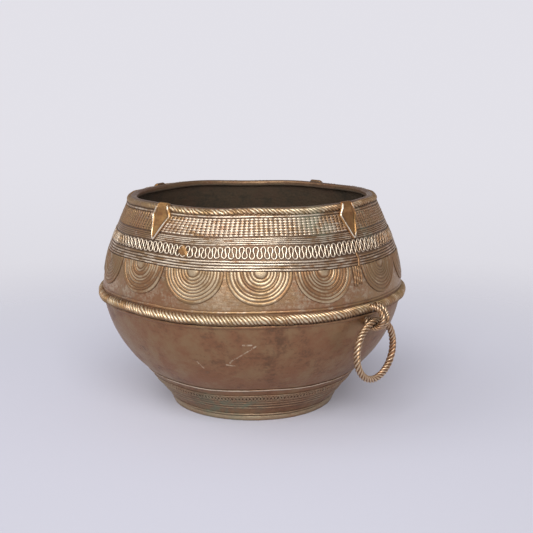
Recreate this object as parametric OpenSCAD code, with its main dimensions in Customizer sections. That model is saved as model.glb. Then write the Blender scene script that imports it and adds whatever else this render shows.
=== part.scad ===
// Cast brass grain bowl: a round-bellied bowl with applied wax-thread ornament and a swinging ring.
// Millimetres. +Z is up, the origin is on the bowl's axis at the table, and the ring hangs on the +X side.

/* [Bowl] */
// Height from the table to the top of the lip
bowl_h = 102; // [101:0.5:103]
// Outer radius of the foot
foot_r = 40.2; // [38:0.1:42]
// Height where the straight foot cone meets the round belly
kink_z = 19; // [18:0.5:20]
// Height of the shoulder, where the bowl is widest
shoulder_z = 56.8; // [56:0.1:57.5]
// Height where the round upper belly runs into the straight neck
neck_z = 84; // [82:0.5:86]
// Thickness of the cast wall
wall_t = 3; // [2.5:0.1:3.5]

/* [Belly arcs] */
// Radius of the lower belly's arc
lower_arc_r = 57; // [56:0.5:58]
// Height of the lower arc's centre
lower_arc_z = 62.3; // [61.5:0.1:63]
// Radius of the upper belly's arc
upper_arc_r = 70; // [69.5:0.1:70.5]
// Distance of the upper arc's centre from the axis
upper_arc_x = 2.5; // [2:0.1:3]
// Height of the upper arc's centre
upper_arc_z = 55.5; // [55:0.1:56]

/* [Threads] */
// Thickness of a plain wax thread
thread_d = 1; // [0.8:0.05:1.05]
// Thickness of a fine wax thread
fine_thread_d = 0.7; // [0.6:0.05:0.72]
// How far a thread or a flat band stands proud of the wall
proud = 0.5; // [0.4:0.05:0.55]
// Radius of the twisted rope on the shoulder
shoulder_rope_r = 2.2; // [2:0.05:2.3]
// Radius of the twisted rope on the rim
rim_rope_r = 1.55; // [1.4:0.05:1.6]

/* [Scallops] */
// Number of half-round scallops
scallop_count = 15; // [15]
// Radius of a scallop
scallop_r = 14.05; // [13.5:0.05:14.1]
// Height of the straight top edge of the scallops
scallop_top = 76.5; // [76.3:0.1:76.6]
// Angle from one scallop to the next
scallop_pitch = 23.65; // [23.6:0.01:23.7]

/* [Ring] */
// Radius of the swinging ring, to the middle of its rod
ring_r = 13.3; // [13:0.1:13.5]
// Radius of the ring's twisted rod
ring_rod_r = 1.5; // [1.4:0.05:1.55]
// Radius of the near staple strand, to the middle of the strand
staple_r = 4.9; // [4.8:0.05:5]
// Radius of the staple's twisted strands
strand_r = 1.05; // [1:0.01:1.08]
// Free space between the ring and the staple
ring_gap = 0.3; // [0.25:0.05:0.4]

/* [Hidden] */
$fn = 96;

// Colours of the aged metal
wall_colour = [0.45, 0.33, 0.24];
thread_colour = [0.66, 0.55, 0.38];
tab_colour = [0.62, 0.43, 0.22];
rope_colour = [0.70, 0.58, 0.40];

// How deep a thread or a band is fused into the wall
fused = 0.3;

// Foot: a low rim round a slightly raised underside
foot_h = 2.4;
foot_rim_w = 3.7;
underside_z = 1;
floor_z = 4.5;
floor_r = foot_r - 2.2;

// Lip: a thicker edge with a small ledge under it on the inside
lip_h = 3;
lip_in_r = 55.3;

// Both belly arcs meet at the shoulder
function arc_reach(radius, height) = sqrt(radius * radius - height * height);
shoulder_r = upper_arc_x + arc_reach(upper_arc_r, shoulder_z - upper_arc_z);
lower_arc_x = shoulder_r - arc_reach(lower_arc_r, lower_arc_z - shoulder_z);
kink_r = lower_arc_x + arc_reach(lower_arc_r, lower_arc_z - kink_z);
neck_r = upper_arc_x + arc_reach(upper_arc_r, neck_z - upper_arc_z);

// The neck goes on straight from the end of the upper arc
neck_slope = (neck_z - upper_arc_z) / (neck_r - upper_arc_x);
neck_tilt = atan(neck_slope);

// The inside of the neck, up to the ledge
neck_in_r = upper_arc_x + arc_reach(upper_arc_r - wall_t, neck_z - upper_arc_z);
ledge_z = bowl_h - lip_h;
ledge_r = neck_in_r - neck_slope * (ledge_z - neck_z);

// Outer radius of the bare wall at a height
function wall_r(z) =
    z <= kink_z ? foot_r + (kink_r - foot_r) * (z - foot_h) / (kink_z - foot_h) :
    z <= shoulder_z ? lower_arc_x + arc_reach(lower_arc_r, lower_arc_z - z) :
    z <= neck_z ? upper_arc_x + arc_reach(upper_arc_r, z - upper_arc_z) :
    neck_r - neck_slope * (z - neck_z);

// Points up both belly arcs, moved inwards by an inset, from the kink to the neck
lower_steps = 16;
upper_steps = 12;
function belly_points(inset) = concat(
    [for (i = [0:lower_steps]) let (z = kink_z + (shoulder_z - kink_z) * i / lower_steps)
        [lower_arc_x + arc_reach(lower_arc_r - inset, lower_arc_z - z), z]],
    [for (i = [1:upper_steps]) let (z = shoulder_z + (neck_z - shoulder_z) * i / upper_steps)
        [upper_arc_x + arc_reach(upper_arc_r - inset, z - upper_arc_z), z]]
);
function reversed(points) = [for (i = [len(points) - 1:-1:0]) points[i]];

// Section of a band that follows the wall between two heights, from one offset to another
function band_section(z0, z1, low, high, steps = 4) = concat(
    [for (i = [0:steps]) let (z = z0 + (z1 - z0) * i / steps) [wall_r(z) + high, z]],
    [for (i = [steps:-1:0]) let (z = z0 + (z1 - z0) * i / steps) [wall_r(z) + low, z]]
);

// Heights of the ornament, from the foot to the rim
foot_wire_z = 3.4;
foot_thread_z = [7.7, 9.3, 10.9];
braid_z = [12, 15.7];
shoulder_wire_z = [53.6, 59.7];
band_wire_z = [77.2, 78.3, 79.4, 80.5];
meander_z = [81.2, 86.8];
neck_wire_z = [87.4, 88.15, 88.9, 89.65];
lattice_wire_z = [for (i = [0:6]) 90.95 + 1.07 * i];
lattice_z = [90.35, 98];
rib_proud = proud / 2;
rim_wire_z = 98.52;
rim_rope_z = bowl_h - 1.7;
rim_rope_x = wall_r(rim_rope_z) - 0.4;

// Scallops: the row is open where the thread strip hangs
scallop_first = 8.9;
scallop_proud = 0.6;
boss_r = 2.9;
boss_proud = 0.9;
function scallop_name(i) = str("scallop_", i < 10 ? "0" : "", i);

// Kite-shaped tabs on the neck
tab_angles = [-86.7, -2.3, 98, -172];
tab_low_z = 86.6;
tab_wide_z = 97;
tab_top_z = 102;
tab_wide = 11.2;
tab_top_wide = 5.6;
tab_from = proud + 0.15;
tab_t = 1.2;

// Repair patch over the meander
patch_angle = -72;
patch_wide = 4.6;
patch_z = [81.7, 86.2];
patch_from = proud + 0.02;
patch_to = proud + 0.5;

// Thread strip: thread ends that hang between two scallops, with a narrow ridge over the band wires
strip_angle = -5.55;
strip_wide = 5.6;
strip_low_z = 67;
strip_proud = proud + 0.35;
ridge_angle = -4;
ridge_wide = 1.9;
ridge_z = [75.7, 81.9];
ridge_over = proud + 0.12;
ridge_proud = proud + 0.6;

// Staple: two strands side by side, the far one a little larger
staple_x = shoulder_r + 3.1;
staple_z = shoulder_z - 4;
strand_y = 1.12;
far_staple_r = staple_r + 0.25;

// The ring hangs from the inside of the staple, on a level axis through the top of its rod
ring_top_z = staple_z - (staple_r - strand_r - ring_rod_r - ring_gap);
ring_z = ring_top_z - ring_r;

// A ring of thread laid round the wall
module ring_thread(z, d) {
    color(thread_colour)
        rotate_extrude()
            translate([wall_r(z) + proud - d / 2, z])
                circle(d = d);
}

// A flat band of thread work laid round the wall
module ring_band(z, stands) {
    color(thread_colour)
        rotate_extrude()
            polygon(band_section(z[0], z[1], -fused, stands));
}

// Everything between two heights, on the outer side of the axis
module between(z0, z1) {
    intersection() {
        children();
        translate([0, z0])
            square([upper_arc_r + 20, z1 - z0]);
    }
}

// The bowl is one turned section: up the outside from the axis, over the lip, and down the inside
module bowl_shell() {
    rim_in = foot_r - foot_rim_w;
    color(wall_colour)
        rotate_extrude()
            polygon(concat(
                [[0, underside_z], [rim_in, underside_z], [rim_in, foot_h], [foot_r, foot_h]],
                belly_points(0),
                [[wall_r(bowl_h), bowl_h], [lip_in_r, bowl_h], [lip_in_r, ledge_z], [ledge_r, ledge_z]],
                reversed(belly_points(wall_t)),
                [[floor_r, floor_z], [0, floor_z]]
            ));
}

module foot_rim() {
    color(wall_colour)
        rotate_extrude()
            translate([foot_r - foot_rim_w, 0])
                square([foot_rim_w, foot_h]);
}

module shoulder_rope() {
    color(rope_colour)
        rotate_extrude()
            translate([shoulder_r + 0.3, shoulder_z])
                circle(r = shoulder_rope_r);
}

module rim_rope() {
    color(rope_colour)
        rotate_extrude()
            translate([rim_rope_x, rim_rope_z])
                circle(r = rim_rope_r);
}

// A pad that follows the upper belly, cut to a round outline below the scallops' top edge
module scallop_pad(radius, stands) {
    half_angle = 13;
    intersection() {
        rotate([0, 0, -half_angle])
            rotate_extrude(angle = 2 * half_angle)
                between(scallop_top - radius - 1, scallop_top)
                    translate([upper_arc_x, upper_arc_z])
                        difference() {
                            circle(r = upper_arc_r + stands);
                            circle(r = upper_arc_r - fused);
                        }
        translate([0, 0, scallop_top])
            rotate([0, 90, 0])
                cylinder(r = radius, h = upper_arc_r + 20);
    }
}

// Scallop i hangs below the band wires, with a round boss at the middle of its top edge
module scallop(i) {
    color(thread_colour)
        rotate([0, 0, scallop_first + scallop_pitch * (i - 1)])
            union() {
                scallop_pad(scallop_r, scallop_proud);
                scallop_pad(boss_r, boss_proud);
            }
}

// Tab i: a flat kite that lies along the slope of the neck, over the threads and the rim rope
module rim_tab(i) {
    mid_z = tab_wide_z;
    up = (tab_top_z - mid_z) / cos(neck_tilt);
    down = (mid_z - tab_low_z) / cos(neck_tilt);
    color(tab_colour)
        rotate([0, 0, tab_angles[i - 1]])
            translate([wall_r(mid_z), 0, mid_z])
                rotate([0, -neck_tilt, 0])
                    translate([tab_from, 0, 0])
                        rotate([90, 0, 90])
                            linear_extrude(tab_t)
                                polygon([[-tab_top_wide / 2, up], [tab_top_wide / 2, up],
                                         [tab_wide / 2, 0], [0.4, -down], [-0.4, -down],
                                         [-tab_wide / 2, 0]]);
}

// A short stretch of band round a middle angle, between two heights and two offsets from the wall
module curved_pad(middle, wide, z, low, high) {
    sweep = wide / wall_r(z[0]) * 180 / PI;
    rotate([0, 0, middle - sweep / 2])
        rotate_extrude(angle = sweep)
            polygon(band_section(z[0], z[1], low, high));
}

module repair_patch() {
    color(tab_colour)
        curved_pad(patch_angle, patch_wide, patch_z, patch_from, patch_to);
}

// The strip is fused to the wall between two scallops, and its ridge runs up over the band wires
module thread_strip() {
    color(tab_colour)
        union() {
            curved_pad(strip_angle, strip_wide, [strip_low_z, scallop_top], -fused, strip_proud);
            curved_pad(ridge_angle, ridge_wide, ridge_z, ridge_over, ridge_proud);
        }
}

// A strand of the staple: a ring of rod that stands edge-on to the wall, half sunk in it
module staple_strand(y, radius) {
    color(rope_colour)
        translate([staple_x, y, staple_z])
            rotate([90, 0, 0])
                rotate_extrude()
                    translate([radius, 0])
                        circle(r = strand_r);
}

module swing_ring() {
    color(rope_colour)
        translate([staple_x, 0, ring_z])
            rotate([0, 90, 0])
                rotate_extrude()
                    translate([ring_r, 0])
                        circle(r = ring_rod_r);
}

bowl_shell();
foot_rim();
ring_thread(foot_wire_z, thread_d);  // foot_wire
for (i = [1:3])
    ring_thread(foot_thread_z[i - 1], thread_d);
ring_band(braid_z, proud);  // foot_braid
ring_thread(kink_z, thread_d);  // foot_band_wire
ring_thread(shoulder_wire_z[0], thread_d);  // shoulder_wire_lower
shoulder_rope();
ring_thread(shoulder_wire_z[1], thread_d);  // shoulder_wire_upper
for (i = [1:scallop_count])
    scallop(i);
for (i = [1:4])
    ring_thread(band_wire_z[i - 1], thread_d);
ring_band(meander_z, proud);  // meander_wire
for (i = [1:4])
    ring_thread(neck_wire_z[i - 1], fine_thread_d);
for (i = [1:7])
    ring_thread(lattice_wire_z[i - 1], thread_d);
ring_band(lattice_z, rib_proud);  // lattice_ribs
ring_thread(rim_wire_z, thread_d);  // rim_wire
rim_rope();
for (i = [1:4])
    rim_tab(i);
repair_patch();
thread_strip();
staple_strand(-strand_y, staple_r);  // staple_strand_near
staple_strand(strand_y, far_staple_r);  // staple_strand_far
swing_ring();
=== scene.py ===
"""Looks of a cast brass grain bowl: relief, patina, light and camera, built round its CAD frame.

Metres, +Z up. The origin is on the bowl's axis at the table, and the ring hangs on the +X side.
Angles round the bowl are counted from +X. A point on the bowl is an angle, a height z and a height
above the bare wall, which on_wall() turns into a place.
"""

import math

import bpy
import numpy as np
from mathutils import Matrix, Vector


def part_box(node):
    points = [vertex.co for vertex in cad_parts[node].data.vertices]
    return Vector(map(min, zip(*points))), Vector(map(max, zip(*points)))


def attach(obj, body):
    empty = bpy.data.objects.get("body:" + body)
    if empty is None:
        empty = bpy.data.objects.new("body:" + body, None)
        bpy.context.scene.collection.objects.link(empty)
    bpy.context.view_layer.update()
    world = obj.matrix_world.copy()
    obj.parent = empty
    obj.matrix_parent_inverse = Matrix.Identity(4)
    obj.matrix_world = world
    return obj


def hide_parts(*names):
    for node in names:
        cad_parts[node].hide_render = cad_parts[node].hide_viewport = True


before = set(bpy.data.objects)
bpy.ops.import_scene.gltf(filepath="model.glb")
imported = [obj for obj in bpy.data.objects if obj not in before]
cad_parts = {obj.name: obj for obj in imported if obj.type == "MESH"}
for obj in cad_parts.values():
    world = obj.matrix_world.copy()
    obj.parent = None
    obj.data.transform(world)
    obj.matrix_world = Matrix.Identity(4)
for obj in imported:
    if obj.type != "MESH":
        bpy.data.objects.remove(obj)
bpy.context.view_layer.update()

MM = 0.001
TURN = 2 * math.pi
rng = np.random.default_rng(11)


# ---- sizes, read from the CAD frame -------------------------------------------------------------


def z_range(node):
    """Lowest and highest z of a CAD node."""
    low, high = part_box(node)
    return low.z, high.z


def middle_z(node):
    """Height of the middle of a CAD node."""
    return sum(z_range(node)) / 2


def half_height(node):
    """Half the height of a CAD node, which is the rod's radius where the node is a level ring."""
    low, high = z_range(node)
    return (high - low) / 2


def outer_radius(node):
    """Outer radius of a CAD node that runs all round the bowl."""
    low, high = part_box(node)
    return (high.y - low.y) / 2


def middle_angle(node):
    """Angle round the bowl of the middle of a CAD node."""
    low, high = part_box(node)
    return math.atan2(low.y + high.y, low.x + high.x)


# The crest of a thread stands PROUD of the wall, and what is pressed on goes FUSED deep into it
PROUD = 0.5 * MM
FUSED = 0.3 * MM
THREAD = 1.0 * MM
FINE_THREAD = 0.7 * MM
ROPE_OUT = 0.3 * MM
WALL = 3.0 * MM

lip_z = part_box("bowl_shell")[1].z
foot_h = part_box("foot_rim")[1].z
foot_r = outer_radius("foot_rim")
kink_z = middle_z("foot_band_wire")
shoulder_z = middle_z("shoulder_rope")
shoulder_rope_r = half_height("shoulder_rope")
shoulder_r = outer_radius("shoulder_rope") - shoulder_rope_r - ROPE_OUT
rim_rope_r = half_height("rim_rope")

# The belly's outline is two arcs that meet at the shoulder, then a straight neck
LOWER_ARC_R = 57 * MM
LOWER_ARC_Z = 62.3 * MM
UPPER_ARC_R = 70 * MM
UPPER_ARC_Z = 55.5 * MM
NECK_Z = 84 * MM
lower_arc_x = shoulder_r - math.sqrt(LOWER_ARC_R**2 - (LOWER_ARC_Z - shoulder_z) ** 2)
upper_arc_x = shoulder_r - math.sqrt(UPPER_ARC_R**2 - (shoulder_z - UPPER_ARC_Z) ** 2)
kink_r = lower_arc_x + math.sqrt(LOWER_ARC_R**2 - (LOWER_ARC_Z - kink_z) ** 2)
neck_r = upper_arc_x + math.sqrt(UPPER_ARC_R**2 - (NECK_Z - UPPER_ARC_Z) ** 2)
neck_slope = (NECK_Z - UPPER_ARC_Z) / (neck_r - upper_arc_x)


def wall_radius(z):
    """Outer radius of the bare wall at heights z."""
    z = np.asarray(z, float)
    foot = foot_r + (kink_r - foot_r) * (z - foot_h) / (kink_z - foot_h)
    lower = lower_arc_x + np.sqrt(np.maximum(LOWER_ARC_R**2 - (LOWER_ARC_Z - z) ** 2, 0))
    upper = upper_arc_x + np.sqrt(np.maximum(UPPER_ARC_R**2 - (z - UPPER_ARC_Z) ** 2, 0))
    neck = neck_r - neck_slope * (z - NECK_Z)
    return np.select([z <= kink_z, z <= shoulder_z, z <= NECK_Z], [foot, lower, upper], neck)


def around_axis(radius, angle, z):
    """Points at a radius from the bowl's axis, an angle round it and a height."""
    return np.stack(np.broadcast_arrays(radius * np.cos(angle), radius * np.sin(angle), z), -1)


def wall_normal(angle, z):
    """Outward normal of the bare wall."""
    step = 0.2 * MM
    slope = (wall_radius(z + step) - wall_radius(z - step)) / (2 * step)
    out = 1 / np.sqrt(1 + slope**2)
    return around_axis(out, angle, -slope * out)


def on_wall(angle, z, height=0.0):
    """Points at a height above the bare wall, measured along its normal."""
    angle, z, height = np.broadcast_arrays(angle, z, height)
    return around_axis(wall_radius(z), angle, z) + wall_normal(angle, z) * height[..., None]


def all_round(count):
    """Angles evenly round one turn."""
    return np.linspace(0, TURN, count, endpoint=False)


# ---- hand-made unevenness and the painted crest highlight ---------------------------------------


def smoothstep(value, low, high):
    """0 below low and 1 above high, with a smooth change between them."""
    t = np.clip((value - low) / (high - low), 0, 1)
    return t * t * (3 - 2 * t)


def swell(angle, centre, spread):
    """1 at the angle centre and less on both sides of it; angles are taken from -pi to pi."""
    turn = np.arctan2(np.sin(angle), np.cos(angle))
    return np.exp(-(((turn - centre) / spread) ** 2))


def wobble(angle, size, slowest, fastest, falloff=0.7):
    """A closed random curve round the bowl, made of waves from slowest to fastest per turn."""
    orders = np.arange(slowest, fastest + 1)
    weights = rng.normal(size=len(orders)) / orders**falloff
    phases = rng.uniform(0, TURN, len(orders))
    weights *= size / np.sqrt((weights**2).sum() / 2)
    total = np.zeros_like(np.asarray(angle, float))
    for order, weight, phase in zip(orders, weights, phases):
        total = total + weight * np.cos(order * angle + phase)
    return total


DENT_WAVES = [(int(k), a, b, c) for k, a, b, c in zip(
    rng.integers(2, 9, 14), rng.uniform(0, TURN, 14), rng.uniform(-90, 90, 14), rng.normal(size=14))]
SWAY_WAVES = [(k, rng.uniform(0, TURN), rng.normal()) for k in (2, 3, 4, 5, 7)]
DENT = 0.11 * MM
SWAY = 0.13 * MM
STAPLE_SPREAD = 0.28
STEADY_FOOT = 14 * MM


def warp(points):
    """The whole bowl is a little out of true, but not beside the staple, where the ring's axis is."""
    points = np.asarray(points, float)
    angle = np.arctan2(points[..., 1], points[..., 0])
    z = points[..., 2]
    dent = sum(w * np.cos(k * angle + p + q * z) / k**0.5 for k, p, q, w in DENT_WAVES)
    sway = sum(w * np.cos(k * angle + p) for k, p, w in SWAY_WAVES)
    free = 1 - swell(angle, 0, STAPLE_SPREAD)
    standing = np.clip((z - foot_h) / STEADY_FOOT, 0, 1)
    radius = np.hypot(points[..., 0], points[..., 1])
    out = dent * DENT * free * np.clip(radius / foot_r, 0, 1) * (0.4 + 0.6 * standing)
    moved = points.copy()
    moved[..., 0] += out * np.cos(angle)
    moved[..., 1] += out * np.sin(angle)
    moved[..., 2] += sway * SWAY * free * standing
    return moved


DRIFT_RISE = 0.6 * MM
DRIFT_SAG = 1.35 * MM
DRIFT_SPREAD = 0.85


def band_drift(angle):
    """The bands above the scallops were laid by eye: they sag beside the ring and rise elsewhere."""
    return DRIFT_RISE - DRIFT_SAG * swell(angle, 0, DRIFT_SPREAD)


HIGHLIGHT_TURN = math.radians(-46)
FAINT_TURN = -1.85
FAINT_SPREAD = 0.42


def front_highlight(angle):
    """Painted highlight on the crests: brightest on the side facing the front lamp and on its opposite side,
    less between them, and least beside the ring.
    """
    return 0.42 + 0.63 * np.cos(angle - HIGHLIGHT_TURN) ** 2 - 0.22 * swell(angle, 0, 0.5)


def faint(angle):
    """1 on the left of the front, where the fine threads sank into the wall, and 0 elsewhere."""
    return swell(angle, FAINT_TURN, FAINT_SPREAD)


# ---- meshes -------------------------------------------------------------------------------------


def grid_faces(rows, columns, closed_rows=False, closed_columns=False):
    """Quads of a grid of points; the normal is (along a row) x (from row to row)."""
    i = np.arange(rows if closed_rows else rows - 1)
    j = np.arange(columns if closed_columns else columns - 1)
    i, j = np.meshgrid(i, j, indexing="ij")
    next_i = (i + 1) % rows
    next_j = (j + 1) % columns
    corners = [i * columns + j, i * columns + next_j, next_i * columns + next_j, next_i * columns + j]
    return np.stack([c.ravel() for c in corners], 1)


class Build:
    """Points, faces and the three shades of one piece, gathered from several parts."""

    def __init__(self):
        self.points, self.worn, self.grime, self.inside = [], [], [], []
        self.corners, self.sizes, self.count = [], [], 0

    def add(self, points, faces, worn=0.0, grime=0.0, inside=0.0):
        """Add points of any grid shape and lists of faces, each an array with a face in each row."""
        points = np.asarray(points, float)
        shape = points.shape[:-1]
        for some in faces:
            some = np.atleast_2d(np.asarray(some, int)) + self.count
            self.corners.append(some.ravel())
            self.sizes.append(np.full(len(some), some.shape[1]))
        self.points.append(points.reshape(-1, 3))
        self.worn.append(np.broadcast_to(worn, shape).reshape(-1))
        self.grime.append(np.broadcast_to(grime, shape).reshape(-1))
        self.inside.append(np.broadcast_to(inside, shape).reshape(-1))
        self.count += int(np.prod(shape))

    def piece(self, node, material, slot, body="bowl"):
        """The finished object: it stands for the CAD node and rides on its body."""
        name = f"{node}_cast"
        points = np.concatenate(self.points)
        points = warp(points) if body == "bowl" else points
        corners, sizes = np.concatenate(self.corners), np.concatenate(self.sizes)
        mesh = bpy.data.meshes.new(name)
        mesh.vertices.add(len(points))
        mesh.vertices.foreach_set("co", points.astype(np.float32).ravel())
        mesh.loops.add(len(corners))
        mesh.loops.foreach_set("vertex_index", corners.astype(np.int32))
        mesh.polygons.add(len(sizes))
        starts = np.concatenate([[0], np.cumsum(sizes)[:-1]])
        mesh.polygons.foreach_set("loop_start", starts.astype(np.int32))
        mesh.polygons.foreach_set("use_smooth", np.ones(len(sizes), bool))
        mesh.update(calc_edges=True)
        for key, values in (("worn", self.worn), ("grime", self.grime), ("inside", self.inside)):
            layer = mesh.attributes.new(key, "FLOAT", "POINT")
            layer.data.foreach_set("value", np.concatenate(values).astype(np.float32))
        mesh.materials.append(material)
        piece = bpy.data.objects.new(name, mesh)
        bpy.context.scene.collection.objects.link(piece)
        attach(piece, body)
        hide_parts(node)
        return piece


def add_tube(build, path, outward, section, worn, grime, closed=True):
    """A tube along a path. section[i, j] is (sideways, outward) of point j round path point i."""
    if closed:
        tangent = np.roll(path, -1, 0) - np.roll(path, 1, 0)
    else:
        tangent = np.gradient(path, axis=0)
    tangent /= np.linalg.norm(tangent, axis=1)[:, None]
    side = np.cross(tangent, outward)
    side /= np.linalg.norm(side, axis=1)[:, None]
    out = np.cross(side, tangent)
    points = path[:, None] + section[..., :1] * side[:, None] + section[..., 1:] * out[:, None]
    rows, columns = section.shape[:2]
    faces = [grid_faces(rows, columns, closed, True)]
    if not closed:
        end = np.arange(columns)
        faces += [end[::-1], (rows - 1) * columns + end]
    build.add(points, faces, worn, grime)


def round_section(width, height, corners):
    """Section of a plain thread at each path point, and how high on it each point is, from -1 to 1."""
    turn = all_round(corners)
    section = np.stack([np.multiply.outer(width / 2, np.sin(turn)),
                        np.multiply.outer(height / 2, np.cos(turn))], -1)
    return section, np.cos(turn)


def twisted_section(radius, phase, strands, corners, core):
    """Section of strands twisted right-handed, and how near its crest each point is."""
    turn = all_round(corners)
    share = TURN / strands
    off = np.mod(turn[None, :] - phase[:, None] + share / 2, share) - share / 2
    strand_r = 1 - core

    def reach_at(angle):
        return core * np.cos(angle) + np.sqrt(np.maximum(strand_r**2 - (core * np.sin(angle)) ** 2, 0.003))

    reach = reach_at(off)
    valley = reach_at(share / 2)
    section = np.stack([reach * np.sin(turn), reach * np.cos(turn)], -1) * radius[:, None, None]
    return section, (reach - valley) / (1 - valley)


def lay_thread(build, angle, z, lift, width, height, corners, bright, crest_brightness, clean, closed=True):
    """A thread on the wall whose middle runs through angle and z, lift above the wall.

    Its sides are at 0 and its crest at 1. Its crest brightens, from wearing and for most threads a painted
    highlight, from the first to the second value of bright, and its soiling fades from the first to the
    second value of clean.
    """
    width, height = (np.broadcast_to(size, z.shape) for size in (width, height))
    section, up = round_section(width, height, corners)
    worn = smoothstep(up, *bright) * np.reshape(crest_brightness, (-1, 1))
    grime = 1 - smoothstep(up, *clean)
    add_tube(build, on_wall(angle, z, lift), wall_normal(angle, z), section, worn, grime, closed)


# ---- the wall -----------------------------------------------------------------------------------


def named(start):
    """The CAD nodes whose names begin with start."""
    return sorted(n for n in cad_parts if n.startswith(start))


def wire_nodes():
    """The plain threads that run all round."""
    return [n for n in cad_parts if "wire" in n and "meander" not in n] + named("foot_thread")


def wall_grime(angle, z):
    """How dirty the bare wall is, from 0 to 1: beside each thread, and all over the open-work bands."""
    grime = np.zeros(z.shape)
    drift = band_drift(angle)
    for node in wire_nodes():
        beside = z - middle_z(node) - (drift if node.startswith("band_wire") else 0)
        grime = np.maximum(grime, np.exp(-((beside / (0.8 * MM)) ** 2)))
    meander_low, meander_high = z_range("meander_wire")
    ribs_low, ribs_high = z_range("lattice_ribs")
    grime = np.where((z > meander_low + drift) & (z < meander_high), 1.0, grime)
    return np.where((z > ribs_low) & (z < ribs_high), 1.0, grime)


COLUMNS = 360
OUTER_ROWS = 166
LIP_IN_R = 55.3 * MM
LIP_ROUNDING = 1.2 * MM
LIP_GRIME = 0.55
LEDGE_DROP = 3 * MM
FLOOR_Z = 4.5 * MM
UNDERSIDE_Z = 1.0 * MM
FOOT_RIM_W = 3.7 * MM


def outer_profile():
    """Outline of the underside and the outside, from beside the axis to just under the lip."""
    base = [(0.5 * MM, UNDERSIDE_Z), (foot_r * 0.5, UNDERSIDE_Z)]
    base += [(foot_r - FOOT_RIM_W - 0.1 * MM, UNDERSIDE_Z), (foot_r - FOOT_RIM_W, foot_h)]
    return base + [(float(wall_radius(z)), z) for z in np.linspace(foot_h, lip_z - 1.3 * MM, OUTER_ROWS)]


def lip_profile():
    """Outline of the lip, rounded, from the outside of the neck to the ledge on the inside."""
    lip_out = float(wall_radius(lip_z))
    drops = [(LIP_ROUNDING * (1 - math.cos(a)), LIP_ROUNDING * (1 - math.sin(a)))
             for a in np.linspace(0, math.pi / 2, 7)]
    return [(lip_out - a, lip_z - b) for a, b in drops] + [(LIP_IN_R + b, lip_z - a) for a, b in drops]


def inner_radius(z):
    """Radius of the inside of the wall."""
    z = np.asarray(z, float)
    lower = lower_arc_x + np.sqrt(np.maximum((LOWER_ARC_R - WALL) ** 2 - (LOWER_ARC_Z - z) ** 2, 0))
    upper = upper_arc_x + np.sqrt(np.maximum((UPPER_ARC_R - WALL) ** 2 - (z - UPPER_ARC_Z) ** 2, 0))
    neck = upper_arc_x + math.sqrt((UPPER_ARC_R - WALL) ** 2 - (NECK_Z - UPPER_ARC_Z) ** 2)
    return np.select([z <= shoulder_z, z <= NECK_Z], [lower, upper], neck - neck_slope * (z - NECK_Z))


def upper_polish_and_highlight(z):
    """How much brighter the bare wall is above the shoulder rope: partly polished by hands, partly a painted
    highlight where the upper wall faces the lamps.
    """
    return 0.5 * smoothstep(z, shoulder_z, shoulder_z + 5 * MM)


def inner_profile():
    """Outline of the inside, from the ledge under the lip to beside the axis on the floor."""
    ledge_z = lip_z - LEDGE_DROP
    profile = [(LIP_IN_R, ledge_z + 0.8 * MM), (LIP_IN_R + 0.15 * MM, ledge_z + 0.3 * MM)]
    wall_z = [ledge_z, *np.linspace(ledge_z - 0.5 * MM, kink_z, 60)]
    profile += [(float(inner_radius(z)), z) for z in wall_z]
    wall_foot = profile[-1][0]
    floor_r = foot_r - 2.2 * MM
    for share in np.linspace(0, 1, 9)[1:]:
        hollow = 1.0 * MM * math.sin(math.pi * share)
        radius = wall_foot + (floor_r - wall_foot) * share - hollow
        profile.append((radius, kink_z + (FLOOR_Z - kink_z) * share))
    for share in np.linspace(0, 0.97, 16)[1:]:
        profile.append((floor_r * (1 - share), FLOOR_Z - 0.3 * MM * share * (1 - share)))
    return profile


def bowl_wall(material):
    """The hollow bowl as one closed surface of revolution, with uneven hand-finished faces."""
    outer, lip = outer_profile(), lip_profile()
    profile = np.array(outer + lip + inner_profile())
    angle = all_round(COLUMNS)
    z = np.broadcast_to(profile[:, 1, None], (len(profile), COLUMNS))
    points = around_axis(profile[:, 0, None] + uneven(angle, z, profile), angle, z)
    row = np.arange(len(profile))[:, None]
    is_inside = np.broadcast_to(row >= len(outer) + len(lip), z.shape)
    is_lip = (row > len(outer) + 2) & ~is_inside
    grime = np.where(is_inside, 0.0, np.where(is_lip, LIP_GRIME, wall_grime(angle[None, :], z)))
    worn = np.where(is_inside, 0.0, np.where(is_lip, 0.08, upper_polish_and_highlight(z) * (1 - grime)))
    around = np.arange(COLUMNS)
    following = (around + 1) % COLUMNS
    underside, floor_middle = z.size, z.size + 1
    last_row = z.size - COLUMNS
    faces = [grid_faces(len(profile), COLUMNS, False, True)]
    faces.append(np.stack([around * 0 + underside, following, around], 1))
    faces.append(np.stack([around * 0 + floor_middle, last_row + around, last_row + following], 1))
    points = np.concatenate([points.reshape(-1, 3), [[0, 0, UNDERSIDE_Z], [0, 0, FLOOR_Z]]])
    # The last two points are the middles of the underside and of the floor
    middles = ([0, 0], [0, 0], [0, 1])
    shades = [np.concatenate([shade.ravel(), two]) for shade, two in zip((worn, grime, is_inside), middles)]
    build = Build()
    build.add(points, faces, *shades)
    return build.piece("bowl_shell", material, "bowl_wall")


SCRAPE_WAVES = 26
SCRAPE_DEPTH = 0.055 * MM


def uneven(angle, z, profile):
    """Shallow scraping and casting unevenness over the wall, as an outward offset."""
    total = np.zeros(z.shape)
    for _ in range(SCRAPE_WAVES):
        k = int(rng.integers(4, 46))
        q = rng.uniform(-700, 700)
        total += rng.normal() * np.cos(k * angle[None, :] + q * z + rng.uniform(0, TURN)) / SCRAPE_WAVES**0.5
    steady = np.clip(profile[:, 0, None] / foot_r, 0, 1)
    return total * SCRAPE_DEPTH * steady


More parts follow.
